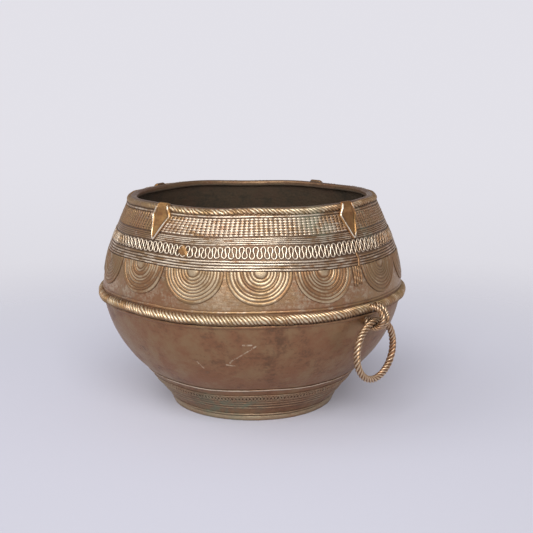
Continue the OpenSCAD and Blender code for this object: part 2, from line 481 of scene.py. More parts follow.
def foot_ring(material):
    """Flat-bottomed ring the bowl stands on, with scuffed, slightly rounded corners."""
    inner = foot_r - FOOT_RIM_W
    middle = inner + FOOT_RIM_W * 0.5
    corner = 0.5 * MM
    drops = [(corner * (1 - math.sin(a)), corner * (1 - math.cos(a))) for a in np.linspace(0, math.pi / 2, 5)]
    profile = [(inner, 0.0), (middle, 0.0)]
    profile += [(foot_r - a, b) for a, b in drops]
    profile += [(foot_r, foot_h * 0.5)]
    profile += [(foot_r - b, foot_h - a) for a, b in drops]
    profile += [(middle, foot_h), (inner, foot_h)]
    radius, z = np.array(profile).T[:, :, None]
    angle = all_round(COLUMNS)
    on_edge = smoothstep(radius, foot_r - 1.5 * MM, foot_r)
    points = around_axis(radius + wobble(angle, 0.10 * MM, 3, 60) * on_edge, angle, z)
    worn = on_edge * smoothstep(z, 0.2 * MM, 1.2 * MM) * 0.7
    build = Build()
    build.add(points, [grid_faces(len(profile), COLUMNS, True, True)], worn)
    return build.piece("foot_rim", material, "bowl_wall")


# ---- threads and ropes laid on the wall ---------------------------------------------------------


def plain_thread(node, material, thick=THREAD, rub=1.0, sink=0.0, line=None, drifts=False, dips=0.0,
                 fades=0.0, lower=0.0, steps=900):
    """A round thread pressed on the wall all round, a little uneven in line and thickness.

    It sinks by dips between the lattice's ribs and by fades where the threads are faint.
    """
    angle = all_round(steps)
    own_line = wobble(angle, 0.05 * MM, 3, 40) + wobble(angle, 0.012 * MM, 60, 160)
    z = middle_z(node) - lower + (own_line if line is None else line)
    if drifts:
        z = z + band_drift(angle)
    width = thick * (1 + wobble(angle, 0.05, 5, 120, 0.3))
    lift = PROUD - sink - thick / 2 + wobble(angle, 0.03 * MM, 5, 90, 0.3) - fades * faint(angle)
    # Painted highlight: the crests brighten towards the front lamp and darken beside the ring
    crest_brightness = (rub + wobble(angle, 0.22 * rub, 3, 70, 0.4)) * front_highlight(angle)
    if fades:
        crest_brightness = crest_brightness * (1 - 0.6 * faint(angle))
    if dips:
        gap = rib_gap(angle, z)
        lift = lift - dips * gap
        crest_brightness = crest_brightness * (1 - 0.9 * gap)
    build = Build()
    lay_thread(build, angle, z, lift, width, thick, 10, (0.1, 0.9), crest_brightness, (-0.1, 0.55))
    return build.piece(node, material, "wax_thread")


def rope(node, material, radius, centre_r, strokes, strands, core, rub, smooth=0.0, lower=0.0):
    """A rope of twisted strands round the bowl; strokes is the number of crests seen round it.

    The twist is flattened by wearing, by the share smooth, where the threads are faint.
    """
    angle = all_round(strokes * 9)
    phase = angle * strokes / strands + wobble(angle, 0.35, 3, 90, 0.5)
    thick = radius * (1 + wobble(angle, 0.03, 4, 60, 0.3))
    corners = 8 * strands
    section, crest = twisted_section(thick, phase, strands, corners, core)
    turn = all_round(corners)
    flat = smooth * faint(angle)[:, None]
    plain = 0.93 * thick[:, None, None] * np.stack([np.sin(turn), np.cos(turn)], -1)
    section = section + (plain - section) * flat[..., None]
    r = centre_r + wobble(angle, 0.05 * MM, 4, 40)
    z = middle_z(node) - lower + wobble(angle, 0.12 * MM, 3, 30)
    # Painted highlight and shade: the crests brighten only on the rope's upper side, which faces the lamps,
    # and its underside is darkened with painted shade
    top = smoothstep(np.cos(turn + 0.45), -0.1, 0.75)[None, :]
    crest_brightness = (rub + wobble(angle, 0.3, 2, 90, 0.4)) * front_highlight(angle)
    worn = (smoothstep(crest, 0.25, 0.9) * (1 - flat) + 0.35 * flat) * crest_brightness[:, None] * top
    grime = np.maximum((1 - smoothstep(crest, 0.0, 0.35)) * (1 - flat), 0.7 * (1 - top))
    build = Build()
    add_tube(build, around_axis(r, angle, z), around_axis(1.0, angle, 0.35), section, worn, grime)
    return build.piece(node, material, "twisted_rope")


def loop_shape(bend, samples, finer=8):
    """One loop of a wire bent to and fro: x from 0 to 1, y from -0.5 to 0.5."""
    s = np.linspace(0, 1, samples * finer + 1)
    heading = bend * np.sin(TURN * s)
    x = np.concatenate([[0], np.cumsum(np.cos(heading[:-1]))])
    y = np.concatenate([[0], np.cumsum(np.sin(heading[:-1]))])
    y = y - (y.max() + y.min()) / 2
    return x[::finer][:-1] / x[-1], y[::finer][:-1] / (y.max() - y.min())


def meander(material, loops=138, samples=26):
    """One wire bent in tight loops between the band wires and the neck wires."""
    low, high = z_range("meander_wire")
    thick = 0.72 * MM
    x, y = loop_shape(1.93, samples)
    widths = 1 + 0.06 * rng.normal(size=loops)
    widths *= loops / widths.sum()
    starts = np.concatenate([[0], np.cumsum(widths)[:-1]])
    along = (starts[:, None] + widths[:, None] * x[None, :]).ravel()
    angle = along / loops * TURN
    reach = np.repeat(0.96 + 0.03 * rng.normal(size=loops), samples)
    bottom = low + band_drift(angle)
    height = (high - bottom - thick) * reach
    middle = (bottom + high) / 2 + wobble(angle, 0.10 * MM, 5, 60)
    z = middle + height * np.tile(y, loops)
    lean = wobble(angle, 0.05, 8, 110, 0.2)
    angle = angle + lean * (z - middle) / wall_radius(z)
    width = thick * (1 + wobble(angle, 0.08, 20, 400, 0.2))
    lift = 0.12 * MM + wobble(angle, 0.04 * MM, 10, 300, 0.3)
    # Painted highlight: the loops brighten towards the front lamp and darken beside the ring
    crest_brightness = (1.45 + wobble(angle, 0.2, 3, 90, 0.4)) * front_highlight(angle)
    build = Build()
    lay_thread(build, angle, z, lift, width, thick * 1.15, 8, (-0.1, 0.7), crest_brightness, (-0.2, 0.4))
    return build.piece("meander_wire", material, "wax_thread")


RIBS = 187
RIB_W = 1.5 * MM
STEEP_TURN = -1.42
STEEP_SPREAD = 0.38
LEAN_WAVES = [(k, rng.uniform(0, TURN), rng.normal() * 0.1) for k in (3, 5, 9, 14)]


def rib_lean(angle):
    """Slope of the ribs, which lean a little one way and then the other, and far in one place."""
    slight = sum(w * np.cos(k * angle + p) for k, p, w in LEAN_WAVES)
    return slight + 0.42 * swell(angle, STEEP_TURN, STEEP_SPREAD)


def rib_shift(angle, z):
    """How far round the lean carries a rib at height z."""
    return rib_lean(angle) * (z - middle_z("lattice_ribs")) / wall_radius(z)


def rib_gap(angle, z):
    """1 midway between two ribs of the lattice and 0 on a rib."""
    return smoothstep(-np.cos(RIBS * (angle - rib_shift(angle, z))), 0.15, 0.85)


def lattice_ribs(material):
    """Short flat upright ribs under the lattice's level threads."""
    low, high = z_range("lattice_ribs")
    build = Build()
    for k in range(RIBS):
        middle = TURN * k / RIBS + rng.normal() * 0.0008
        top = high - abs(rng.normal()) * 0.15 * MM
        z = np.linspace(low + abs(rng.normal()) * 0.15 * MM, top, 7)
        width = np.full(7, RIB_W * (1 + 0.08 * rng.normal()))
        width[[0, -1]] *= 0.7
        # Painted highlight: the ribs brighten towards the front lamp and darken beside the ring
        lay_thread(build, middle + rib_shift(middle, z), z, -0.13 * MM, width, 0.95 * MM, 10,
                   (0.2, 1.0), 0.45 * front_highlight(middle), (0.0, 0.6), closed=False)
    return build.piece("lattice_ribs", material, "wax_thread")


def braid(material, crossings=96):
    """Two wires that weave over and under each other in a flat band, between two edge wires."""
    low, high = z_range("foot_braid")
    angle = all_round(crossings * 12)
    build = Build()
    for shift in (0.0, math.pi):
        swing = np.sin(crossings * angle + shift)
        over = np.cos(crossings * angle + shift + math.pi / 2)
        z = (low + high) / 2 + swing * (high - low) * 0.27 + wobble(angle, 0.10 * MM, 4, 60)
        crest_brightness = 0.35 + wobble(angle, 0.15, 3, 50, 0.4)
        lay_thread(build, angle, z, 0.12 * MM + 0.1 * MM * over, 0.75 * MM, 0.7 * MM, 8,
                   (0.2, 1.0), crest_brightness, (-0.1, 0.6))
    for edge in (low + 0.35 * MM, high - 0.35 * MM):
        z = edge + wobble(angle, 0.08 * MM, 4, 60)
        lay_thread(build, angle, z, 0.08 * MM, 0.65 * MM, 0.65 * MM, 8, (0.2, 1.0), 0.25, (-0.1, 0.6))
    return build.piece("foot_braid", material, "wax_thread")


# ---- pads on the wall ---------------------------------------------------------------------------


def add_pad(build, across, up, height, middle, middle_height, worn, grime):
    """A closed pad on the wall from a grid of (across, up, height); row 0 is round its middle.

    Rows run from the middle to the edge and columns round it. The edge is carried down into the wall.
    """
    rows, columns = height.shape
    z = middle_height + up
    angle = middle + across / wall_radius(z)
    edge = on_wall(angle[-1], z[-1], -FUSED)
    points = np.concatenate([on_wall(angle, z, height).reshape(-1, 3), edge])
    shade = np.concatenate([np.broadcast_to(worn, height.shape).ravel(), np.zeros(columns)])
    dark = np.concatenate([np.broadcast_to(grime, height.shape).ravel(), np.ones(columns)])
    last, skirt = (rows - 1) * columns, rows * columns
    around = np.arange(columns)
    following = (around + 1) % columns
    faces = [grid_faces(rows, columns, False, True), skirt + around, around[::-1]]
    faces.append(np.stack([last + around, last + following, skirt + following, skirt + around], 1))
    build.add(points, [np.atleast_2d(f)[:, ::-1] for f in faces], shade, dark)


def add_half_pad(build, angle, z, height, centre, worn, grime):
    """A closed half-round pad on the wall: rows run out from its middle and columns along its arcs.

    Its edge is carried down into the wall and closed there round the point centre.
    """
    rows, columns = z.shape
    right_side = np.arange(rows) * columns
    left_side = right_side + columns - 1
    loop = np.concatenate([right_side, right_side[-1] + np.arange(1, columns), left_side[-2::-1]])
    following = np.roll(loop, -1)
    rim = z.size + np.arange(len(loop))
    next_rim = np.roll(rim, -1)
    faces = [grid_faces(rows, columns), np.arange(columns)[::-1]]
    faces.append(np.stack([loop, following, next_rim, rim], 1))
    faces.append(np.stack([rim, next_rim, np.full(len(loop), z.size + len(loop))], 1))
    edge = on_wall(angle, z, -FUSED).reshape(-1, 3)[loop]
    points = np.concatenate([on_wall(angle, z, height).reshape(-1, 3), edge, [centre]])
    shade = np.concatenate([worn.ravel(), np.zeros(len(loop) + 1)])
    dark = np.concatenate([np.repeat(grime, columns), np.ones(len(loop) + 1)])
    build.add(points, faces, shade, dark)


SCALLOP_RINGS = 8
RING_ROWS = 9
BOSS_ROWS = 8
BOSS_R = 2.9 * MM


def scallop(node, material):
    """A half-round pad of concentric half-ring threads round a boss, each ring laid by hand."""
    low, high = z_range(node)
    radius = high - low
    middle = middle_angle(node)
    widths = 1 + 0.13 * rng.normal(size=SCALLOP_RINGS)
    widths[-1] = 1.25
    widths *= (radius - BOSS_R) / widths.sum()
    edges = BOSS_R + np.concatenate([[0], np.cumsum(widths)[:-1]])
    across_ring = (np.arange(RING_ROWS) + 0.5) / RING_ROWS
    rho = np.concatenate([np.linspace(0.05 * MM, BOSS_R * 0.97, BOSS_ROWS),
                          (edges[:, None] + widths[:, None] * across_ring[None, :]).ravel()])
    alpha = np.linspace(0, -math.pi, 73)
    dome = np.sqrt(1 - (across_ring * 2 - 1) ** 2)
    boss_dome = np.sqrt(np.maximum(1 - (rho[:BOSS_ROWS] / BOSS_R) ** 2, 0.02))
    ring_height = np.tile(0.10 * MM + 0.48 * MM * dome, SCALLOP_RINGS)
    ring_height *= np.repeat(1 + 0.10 * rng.normal(size=SCALLOP_RINGS), RING_ROWS)
    height = np.concatenate([0.30 * MM + 0.60 * MM * boss_dome, ring_height])[:, None]
    rub = 0.85 + 0.25 * rng.normal(size=(SCALLOP_RINGS, 1))
    for share, waves in ((0.3, 2), (0.2, 5)):
        rub = rub + share * np.cos(alpha * waves + rng.uniform(0, TURN, (SCALLOP_RINGS, 1)))
    ring_crest = np.tile(smoothstep(dome, 0.5, 0.98), SCALLOP_RINGS)[:, None]
    boss_worn = np.repeat(smoothstep(boss_dome, 0.2, 0.9)[:, None] * 1.1, len(alpha), 1)
    # Painted highlight: the rings and boss brighten towards the front lamp and darken beside the ring
    worn = np.concatenate([boss_worn, np.repeat(rub, RING_ROWS, 0) * ring_crest]) * front_highlight(middle)
    ring_grime = np.tile(1 - smoothstep(dome, 0.15, 0.8), SCALLOP_RINGS)
    grime = np.concatenate([1 - smoothstep(boss_dome, 0.1, 0.5), ring_grime])
    # Drawn by hand: a little out of round, each ring a little loose, and the boss off the middle
    drift = 1 + 0.015 * rng.normal() + 0.012 * np.cos(2 * alpha + rng.uniform(0, TURN))
    drift = np.minimum(drift + 0.008 * np.cos(5 * alpha + rng.uniform(0, TURN)), 1.012)
    rho = rho[:, None]
    loose = 0.09 * MM * np.cos(3 * alpha + rng.uniform(0, TURN)) * np.sin(rho / radius * 9)
    reach = rho * (1 + (drift - 1) * smoothstep(rho, BOSS_R, radius)) + loose * (rho > BOSS_R)
    shift = rng.normal() * 0.5 * MM * (1 - smoothstep(rho, 0, radius))
    angle = middle + (reach * np.cos(alpha) + shift) / float(wall_radius(high))
    z = high - 0.02 * MM + band_drift(angle) + reach * np.sin(alpha)
    centre = on_wall(middle, high - radius * 0.4, -FUSED * 2)
    build = Build()
    add_half_pad(build, angle, z, height, centre, worn, grime)
    return build.piece(node, material, "wax_thread")


def kite_reach(turn, top, bottom, wide, top_wide):
    """Distance from the tab's middle to its outline in each direction, with rounded corners."""
    corners = np.array([(top_wide / 2, top), (wide / 2, 0), (0.35 * MM, -bottom),
                        (-0.35 * MM, -bottom), (-wide / 2, 0), (-top_wide / 2, top)])
    direction = np.stack([np.cos(turn), np.sin(turn)], 1)
    reach = np.full(len(turn), 1.0)
    for a, b in zip(corners, np.roll(corners, -1, 0)):
        edge = b - a
        normal = np.array([edge[1], -edge[0]])
        if normal @ a < 0:
            normal = -normal
        facing = direction @ normal
        hit = np.where(facing > 1e-9, (normal @ a) / np.where(facing > 1e-9, facing, 1), 1.0)
        reach = np.minimum(reach, hit)
    near = np.exp(-((np.arange(-5, 6) / 3.0) ** 2))
    wrapped = np.concatenate([reach[-5:], reach, reach[:5]])
    return np.convolve(wrapped, near / near.sum(), "valid")


TAB_WIDE_Z = 97 * MM
TAB_WIDE = 11.2 * MM
TAB_TOP_WIDE = 5.6 * MM
TAB_LEAN = 0.09


def rim_tab(node, material):
    """A kite-shaped plate lapped over the rim rope: a sunken face inside a thick raised edge."""
    low, high = z_range(node)
    turn = all_round(220)
    top, bottom = (high - TAB_WIDE_Z) * 0.97, (TAB_WIDE_Z - low) * 1.06
    reach = kite_reach(turn, top, bottom, TAB_WIDE, TAB_TOP_WIDE)
    face_share = np.linspace(0.03, 1, 8)[:, None]
    from_edge = np.array([1.5, 1.25, 1.05, 0.9, 0.75, 0.6, 0.45, 0.3, 0.15, 0.05, 0.0])[:, None] * MM
    out = np.concatenate([face_share * (reach - 1.8 * MM), reach - from_edge])
    inset = reach - out
    across, up = out * np.cos(turn), out * np.sin(turn)
    across = across + TAB_LEAN * up + 0.15 * MM * np.sin(up * 500 + rng.uniform(0, TURN))
    edged = 1 - smoothstep(np.sin(turn), 0.80, 0.95)
    ridge = np.exp(-(((inset - 0.68 * MM) / (0.52 * MM)) ** 2))
    ridge = ridge * (0.8 + 0.2 * np.cos(3 * turn + rng.uniform(0, TURN)))
    rounded = np.sqrt(1 - (1 - np.clip(inset / (0.9 * MM), 0, 1)) ** 2)
    over_rope = smoothstep(TAB_WIDE_Z + up, lip_z - 4.4 * MM, lip_z - 2.0 * MM)
    hammered = np.cos(across * 1100 + rng.uniform(0, TURN)) * np.cos(up * 800 + rng.uniform(0, TURN))
    body = 0.80 * MM + 0.6 * MM * over_rope + 0.07 * MM * hammered * smoothstep(inset, 1.2 * MM, 2.4 * MM)
    height = body * (0.45 + 0.55 * rounded) + 0.62 * MM * ridge * edged
    crest_brightness = 0.85 + 0.4 * np.cos(turn + rng.uniform(0, TURN)) + 0.25 * np.cos(5 * turn + rng.uniform(0, TURN))
    worn = smoothstep(ridge * edged, 0.28, 0.7) * crest_brightness + 0.18 * hammered
    grime = np.exp(-(((inset - 1.7 * MM) / (0.3 * MM)) ** 2)) * edged * 0.8
    build = Build()
    add_pad(build, across, up, height, middle_angle(node), TAB_WIDE_Z, worn, grime)
    return build.piece(node, material, "tab_plate")


PATCH_REACH = 2.7 * MM
PATCH_ASIDE = 0.7 * MM


def repair_patch(material):
    """A flat ragged lump where two loops of the meander were filled."""
    low, high = z_range("repair_patch")
    middle = middle_angle("repair_patch")
    turn = all_round(60)
    outline = 1 + 0.14 * np.cos(2 * turn + 2.2) + 0.10 * np.cos(3 * turn + 2.0) + 0.07 * np.cos(7 * turn)
    share = np.array([0.03, 0.2, 0.4, 0.6, 0.75, 0.87, 0.95, 1.0])[:, None]
    across = share * outline * PATCH_REACH * np.cos(turn) - PATCH_ASIDE
    up = share * outline * (high - low) * 0.5 * np.sin(turn)
    height = 0.2 * MM + 0.45 * MM * (1 - share**5) + 0.07 * MM * np.cos(across * 2300) * np.cos(up * 1900)
    build = Build()
    add_pad(build, across, up, height, middle, (low + high) / 2 + float(band_drift(middle)) / 2, 0.0,
            0.3 + 0.3 * share)
    return build.piece("repair_patch", material, "tab_plate")


STRIP_CORDS = 4
STRIP_TURN = math.radians(-5.55)
CORD = 1.35 * MM
RIDGE_TURN = math.radians(-4)
RIDGE = 1.5 * MM


def thread_strip(material):
    """Upright thread ends that hang side by side between two scallops, and a ridge over the band wires."""
    low, high = z_range("thread_strip")
    top_z = z_range("scallop_01")[1]
    drift = float(band_drift(STRIP_TURN))
    steps = 40
    build = Build()
    for k in range(STRIP_CORDS):
        z = np.linspace(low + abs(rng.normal()) * 0.6 * MM, top_z + drift, steps)
        side = (k - (STRIP_CORDS - 1) / 2) * CORD + 0.12 * MM * np.sin(z * 900 + 2 * k)
        end = smoothstep(z, z[0] - 0.3 * MM, z[0] + 1.2 * MM)
        thick = CORD * (0.5 + 0.5 * end) * (1 + 0.08 * np.sin(z * 2600 + 2 * k))
        lay_thread(build, STRIP_TURN + side / wall_radius(z), z, 0.08 * MM, thick, thick * 0.95, 12,
                   (0.3, 0.95), 0.4 + 0.2 * np.sin(z * 1700 + k), (-0.2, 0.5), closed=False)
    z = np.linspace(top_z - 0.8 * MM, high, steps) + drift
    side = 0.25 * MM * np.sin(z * 1300)
    ends = smoothstep(z, z[0] - 0.3 * MM, z[0] + 0.8 * MM)
    ends = ends * (1 - smoothstep(z, z[-1] - 0.8 * MM, z[-1] + 0.3 * MM))
    thick = RIDGE * (0.5 + 0.5 * ends) * (1 + 0.12 * np.sin(z * 3100))
    lay_thread(build, RIDGE_TURN + side / wall_radius(z), z, 0.55 * MM, thick, thick * 0.6, 12,
               (0.3, 0.95), 0.35, (-0.2, 0.5), closed=False)
    return build.piece("thread_strip", material, "tab_plate")


# ---- staple and ring ----------------------------------------------------------------------------


ROD_STRANDS = 4


def twisted_ring(node, material, axis, strokes, core, fatter, aside=0.0, body="bowl"):
    """A closed ring of twisted rod where the CAD ring is; axis is the direction through its eye.

    fatter adds to the rod's radius, and aside moves the ring along its axis. The rod's middle keeps the
    CAD's circle, so a fatter rod narrows the eye. The near strand's eye is 0.19 mm too narrow for the
    ring's rod at rest.
    """
    low, high = (np.array(corner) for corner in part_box(node))
    centre = (low + high) / 2
    centre[axis] += aside
    rod = (high - low)[axis] / 2
    radius = (high - low)[2] / 2 - rod
    steps = strokes * 12
    turn = all_round(steps)
    path = np.zeros((steps, 3)) + centre
    path[:, 1 - axis] += radius * np.cos(turn)
    path[:, 2] += radius * np.sin(turn)
    outward = np.zeros((steps, 3))
    outward[:, axis] = 1.0
    phase = turn * strokes / ROD_STRANDS + wobble(turn, 0.25, 2, 9)
    thick = (rod + fatter) * (0.985 - np.abs(wobble(turn, 0.015, 2, 12)))
    section, crest = twisted_section(thick, phase, ROD_STRANDS, 12 * ROD_STRANDS, core)
    worn = smoothstep(crest, 0.35, 0.95) * (0.9 + wobble(turn, 0.18, 1, 8))[:, None]
    build = Build()
    add_tube(build, path, outward, section, worn, 1 - smoothstep(crest, 0.0, 0.35))
    return build.piece(node, material, "twisted_rope", body)


# ---- materials ----------------------------------------------------------------------------------


class Shader:
    """Short calls for the node tree of a material or a world."""

    def __init__(self, owner, output, coordinates="Object"):
        owner.use_nodes = True
        self.tree = owner.node_tree
        self.tree.nodes.clear()
        self.surface = self.node(output, {}).inputs["Surface"]
        self.place = self.node("TexCoord", {}).outputs[coordinates]

    def link(self, source, socket):
        if isinstance(source, (int, float, tuple)):
            socket.default_value = source
        else:
            self.tree.links.new(source, socket)

    def node(self, kind, inputs, **settings):
        """A new node; inputs says what goes into its sockets, by their name or number."""
        node = self.tree.nodes.new(f"ShaderNode{kind}")
        for key, value in settings.items():
            setattr(node, key, value)
        for key, source in inputs.items():
            self.link(source, node.inputs[key])
        return node

    def noise(self, scale, detail, rough, stretch=None):
        """Noise from 0 to 1; scale is in cycles a metre."""
        place = self.place
        if stretch:
            place = self.node("Mapping", {"Vector": place, "Scale": stretch}).outputs["Vector"]
        inputs = {"Scale": scale, "Detail": detail, "Roughness": rough, "Vector": place}
        return self.node("TexNoise", inputs).outputs["Fac"]

    def value(self, name):
        """A value stored on each point of the mesh."""
        return self.node("Attribute", {}, attribute_name=name).outputs["Fac"]

    def math(self, operation, a, b=0.0, c=0.0, clamp=False):
        return self.node("Math", {0: a, 1: b, 2: c}, operation=operation, use_clamp=clamp).outputs[0]

    def vary(self, base, noise, amount, clamp=False):
        """base, raised and lowered by noise."""
        return self.math("MULTIPLY_ADD", self.math("SUBTRACT", noise, 0.5), amount, base, clamp)

    def vector(self, operation, a, b=(0.0, 0.0, 0.0)):
        """Vector a put together with b, which is a number where the operation is SCALE."""
        second = "Scale" if operation == "SCALE" else 1
        node = self.node("VectorMath", {0: a, second: b}, operation=operation)
        return node.outputs["Vector" if operation in ("SUBTRACT", "SCALE") else "Value"]

    def ramp(self, value, low, high, to_low=0.0, to_high=1.0, shape="SMOOTHSTEP"):
        inputs = {"Value": value, "From Min": low, "From Max": high, "To Min": to_low, "To Max": to_high}
        return self.node("MapRange", inputs, interpolation_type=shape).outputs["Result"]

    def mix(self, share, a, b):
        """Colour a, changed to b by share."""
        node = self.node("Mix", {"Factor": share}, data_type="RGBA")
        for source, socket in zip((a, b), [s for s in node.inputs if s.type == "RGBA"]):
            self.link((*source, 1.0) if isinstance(source, tuple) else source, socket)
        return [s for s in node.outputs if s.type == "RGBA"][0]

    def hollow(self, distance):
        """1 deep in a groove and 0 in the open."""
        node = self.node("AmbientOcclusion", {"Distance": distance}, samples=6)
        return self.math("SUBTRACT", 1.0, node.outputs["AO"])

    def near(self, spot, reach):
        """1 at a spot on the bowl, falling to 0 at reach."""
        return self.ramp(self.vector("DISTANCE", self.place, spot), 0.0, reach, 1.0, 0.0)

    def scratch(self, start, end, half_width):
        """1 on a thin straight scratch from start to end."""
        along = np.array(end) - np.array(start)
        length = float(np.linalg.norm(along))
        heading = tuple(float(c) for c in along / length)
        from_start = self.vector("SUBTRACT", self.place, start)
        reached = self.math("MAXIMUM", self.vector("DOT_PRODUCT", from_start, heading), 0.0)
        reached = self.vector("SCALE", heading, self.math("MINIMUM", reached, length))
        aside = self.vector("LENGTH", self.vector("SUBTRACT", from_start, reached))
        return self.ramp(aside, half_width * 0.5, half_width * 1.3, 1.0, 0.0)


GREEN = (0.16, 0.19, 0.125)
GRIME_AND_SHADE = (0.045, 0.032, 0.024)
INSIDE_DARK = (0.075, 0.062, 0.046)
SCRATCH_HALF_W = 0.4 * MM
# Degrees round the bowl, then radius, height and reach in millimetres
GREEN_SPOTS = [(-64, 43, 7, 22), (-52, 45, 10, 16), (-76, 42, 4, 14), (-20, 62, 96, 16), (8, 62, 92, 13)]


def green_share(s, patchy, worn):
    """How green the corrosion is, in patches on the foot and the neck, thinned where wearing and the painted
    highlight brighten the crests.
    """
    green = 0.0
    for turn, radius, height, reach in GREEN_SPOTS:
        spot = around_axis(radius * MM, math.radians(turn), height * MM)
        green = s.math("MAXIMUM", green, s.near(tuple(float(c) for c in spot), reach * MM))
    green = s.math("MULTIPLY", green, s.ramp(patchy, 0.42, 0.60, 0.0, 0.85), clamp=True)
    return s.math("MULTIPLY", green, s.math("MULTIPLY_ADD", worn, -0.7, 1.0))


def cast_brass(name, skin, ruddy, groove, crest, rough, crest_rough, crest_mix=1.0, dirt_and_shade=1.0, pits=0.08,
               scrapes=()):
    """Aged cast brass: dark in the hollows from soiling and painted shade, a brown skin on the flats, and
    crests brightened by wearing and a painted highlight.
    """
    material = bpy.data.materials.new(name)
    s = Shader(material, "OutputMaterial")
    broad = s.noise(26, 4, 0.55)
    patchy = s.noise(120, 6, 0.65)
    fine = s.noise(700, 5, 0.7)
    grain = s.noise(2600, 3, 0.6)
    scraped = s.noise(150, 6, 0.7, (1.0, 1.0, 4.0))
    mottle = s.math("MULTIPLY_ADD", patchy, 0.55, s.math("MULTIPLY", broad, 0.45))
    colour = s.mix(s.ramp(mottle, 0.42, 0.58), skin, ruddy)
    stain = s.math("MULTIPLY_ADD", s.noise(60, 5, 0.7), 0.45, s.math("MULTIPLY", fine, 0.3))
    stain = s.math("MULTIPLY_ADD", scraped, 0.25, stain)
    colour = s.mix(s.ramp(stain, 0.49, 0.64, 0.0, 0.75), colour, groove)
    # The grime value mixes in the groove colour: soiling beside the threads, and painted shade under the
    # ropes
    colour = s.mix(s.ramp(s.value("grime"), 0.1, 0.9, 0.0, 0.85), colour, groove)
    # Wearing and the painted highlight, broken up by noise, decide where the crest colour shows
    noisy_wear_and_highlight = s.vary(s.vary(s.vary(s.value("worn"), patchy, 1.6), fine, 1.3), scraped, 0.6)
    worn = s.ramp(noisy_wear_and_highlight, 0.3, 1.0, 0.0, crest_mix)
    for start, end in scrapes:
        mark = s.scratch(start, end, SCRATCH_HALF_W)
        worn = s.math("MAXIMUM", worn, s.math("MULTIPLY", mark, s.ramp(fine, 0.40, 0.55)))
    colour = s.mix(worn, colour, crest)
    # Soiling and painted ambient shade: grooves found by ambient occlusion darken towards a dark brown
    soil_and_shade = s.vary(s.math("MULTIPLY", s.value("grime"), 0.35), fine, 0.7)
    soil_and_shade = s.math("MULTIPLY_ADD", s.hollow(1.6 * MM), 1.5, soil_and_shade)
    soil_and_shade = s.ramp(soil_and_shade, 0.45, 1.2, 0.0, 0.7 * dirt_and_shade)
    colour = s.mix(soil_and_shade, colour, GRIME_AND_SHADE)
    green = green_share(s, patchy, worn)
    colour = s.mix(green, colour, GREEN)
    inside = s.value("inside")
    # The inside is coloured a dark grey-brown, mottled by the stain noise, and made less metallic
    colour = s.mix(s.math("MULTIPLY", inside, s.ramp(stain, 0.38, 0.60, 0.98, 0.66)), colour, INSIDE_DARK)
    dull = s.math("MAXIMUM", s.math("MAXIMUM", soil_and_shade, green), s.math("MULTIPLY", inside, 0.75))
    metal = s.math("MULTIPLY_ADD", dull, -0.85, 0.95, clamp=True)
    roughness = s.math("MULTIPLY_ADD", worn, crest_rough - rough, rough)
    roughness = s.vary(s.math("MULTIPLY_ADD", dull, 0.3, roughness), patchy, 0.3, clamp=True)
    relief = s.math("MULTIPLY_ADD", grain, 0.3, s.math("MULTIPLY_ADD", scraped, 1.2, fine))
    bump = s.node("Bump", {"Height": relief, "Distance": pits * MM, "Strength": 0.8}).outputs["Normal"]
    looks = {"Base Color": colour, "Roughness": roughness, "Metallic": metal, "Normal": bump}
    s.link(s.node("BsdfPrincipled", looks).outputs[0], s.surface)
    return material


# ---- build --------------------------------------------------------------------------------------

DARK_GROOVE = (0.16, 0.095, 0.058)
# Both ends of each scratch, in degrees round the bowl and millimetres up
SCRAPES = [((-56, 35), (-53, 34.5)), ((-54.5, 36), (-54, 37)), ((-54, 37), (-45, 44.5)),
           ((-49.5, 45), (-46.5, 45)), ((-67.5, 35.5), (-65.5, 32.5))]


def wall_place(turn, height):
    """A place on the bare wall from degrees round the bowl and millimetres up."""
    return tuple(float(c) for c in on_wall(math.radians(turn), height * MM))


scratches = [(wall_place(*start), wall_place(*end)) for start, end in SCRAPES]
# The crest colours show where wearing and the painted highlight brighten the crests; the thread crest is made
# pale like a lamp's highlight
wall_brass = cast_brass("aged_wall_brass", (0.325, 0.200, 0.105), (0.30, 0.150, 0.08), (0.13, 0.08, 0.05),
                        (0.60, 0.47, 0.32), 0.44, 0.32, 0.8, pits=0.16, scrapes=scratches)
thread_brass = cast_brass("rubbed_and_highlit_thread_brass", (0.33, 0.205, 0.105), (0.35, 0.185, 0.095), DARK_GROOVE,
                          (0.70, 0.585, 0.445), 0.44, 0.34)
scallop_brass = cast_brass("rubbed_and_highlit_scallop_brass", (0.29, 0.185, 0.095), (0.31, 0.165, 0.08), DARK_GROOVE,
                           (0.53, 0.41, 0.265), 0.48, 0.38, 0.9)
rope_brass = cast_brass("twisted_rope_brass", (0.36, 0.235, 0.115), (0.38, 0.205, 0.10), (0.18, 0.11, 0.062),
                        (0.68, 0.55, 0.37), 0.46, 0.36)
ring_brass = cast_brass("coppery_ring_brass", (0.32, 0.19, 0.10), (0.34, 0.17, 0.085), (0.11, 0.062, 0.036),
                        (0.60, 0.45, 0.30), 0.42, 0.31)
foot_brass = cast_brass("dull_foot_brass", (0.38, 0.28, 0.18), (0.37, 0.22, 0.13), (0.16, 0.12, 0.085),
                        (0.56, 0.45, 0.29), 0.48, 0.36, 0.8, dirt_and_shade=0.7)
tab_brass = cast_brass("ochre_tab_brass", (0.385, 0.215, 0.082), (0.29, 0.13, 0.05), (0.14, 0.085, 0.045),
                       (0.80, 0.70, 0.55), 0.42, 0.28, dirt_and_shade=0.8, pits=0.14)

bowl_wall(wall_brass)
foot_ring(foot_brass)
plain_thread("foot_wire", foot_brass, rub=0.6)
plain_thread("foot_band_wire", thread_brass, 0.8 * MM, rub=1.3)
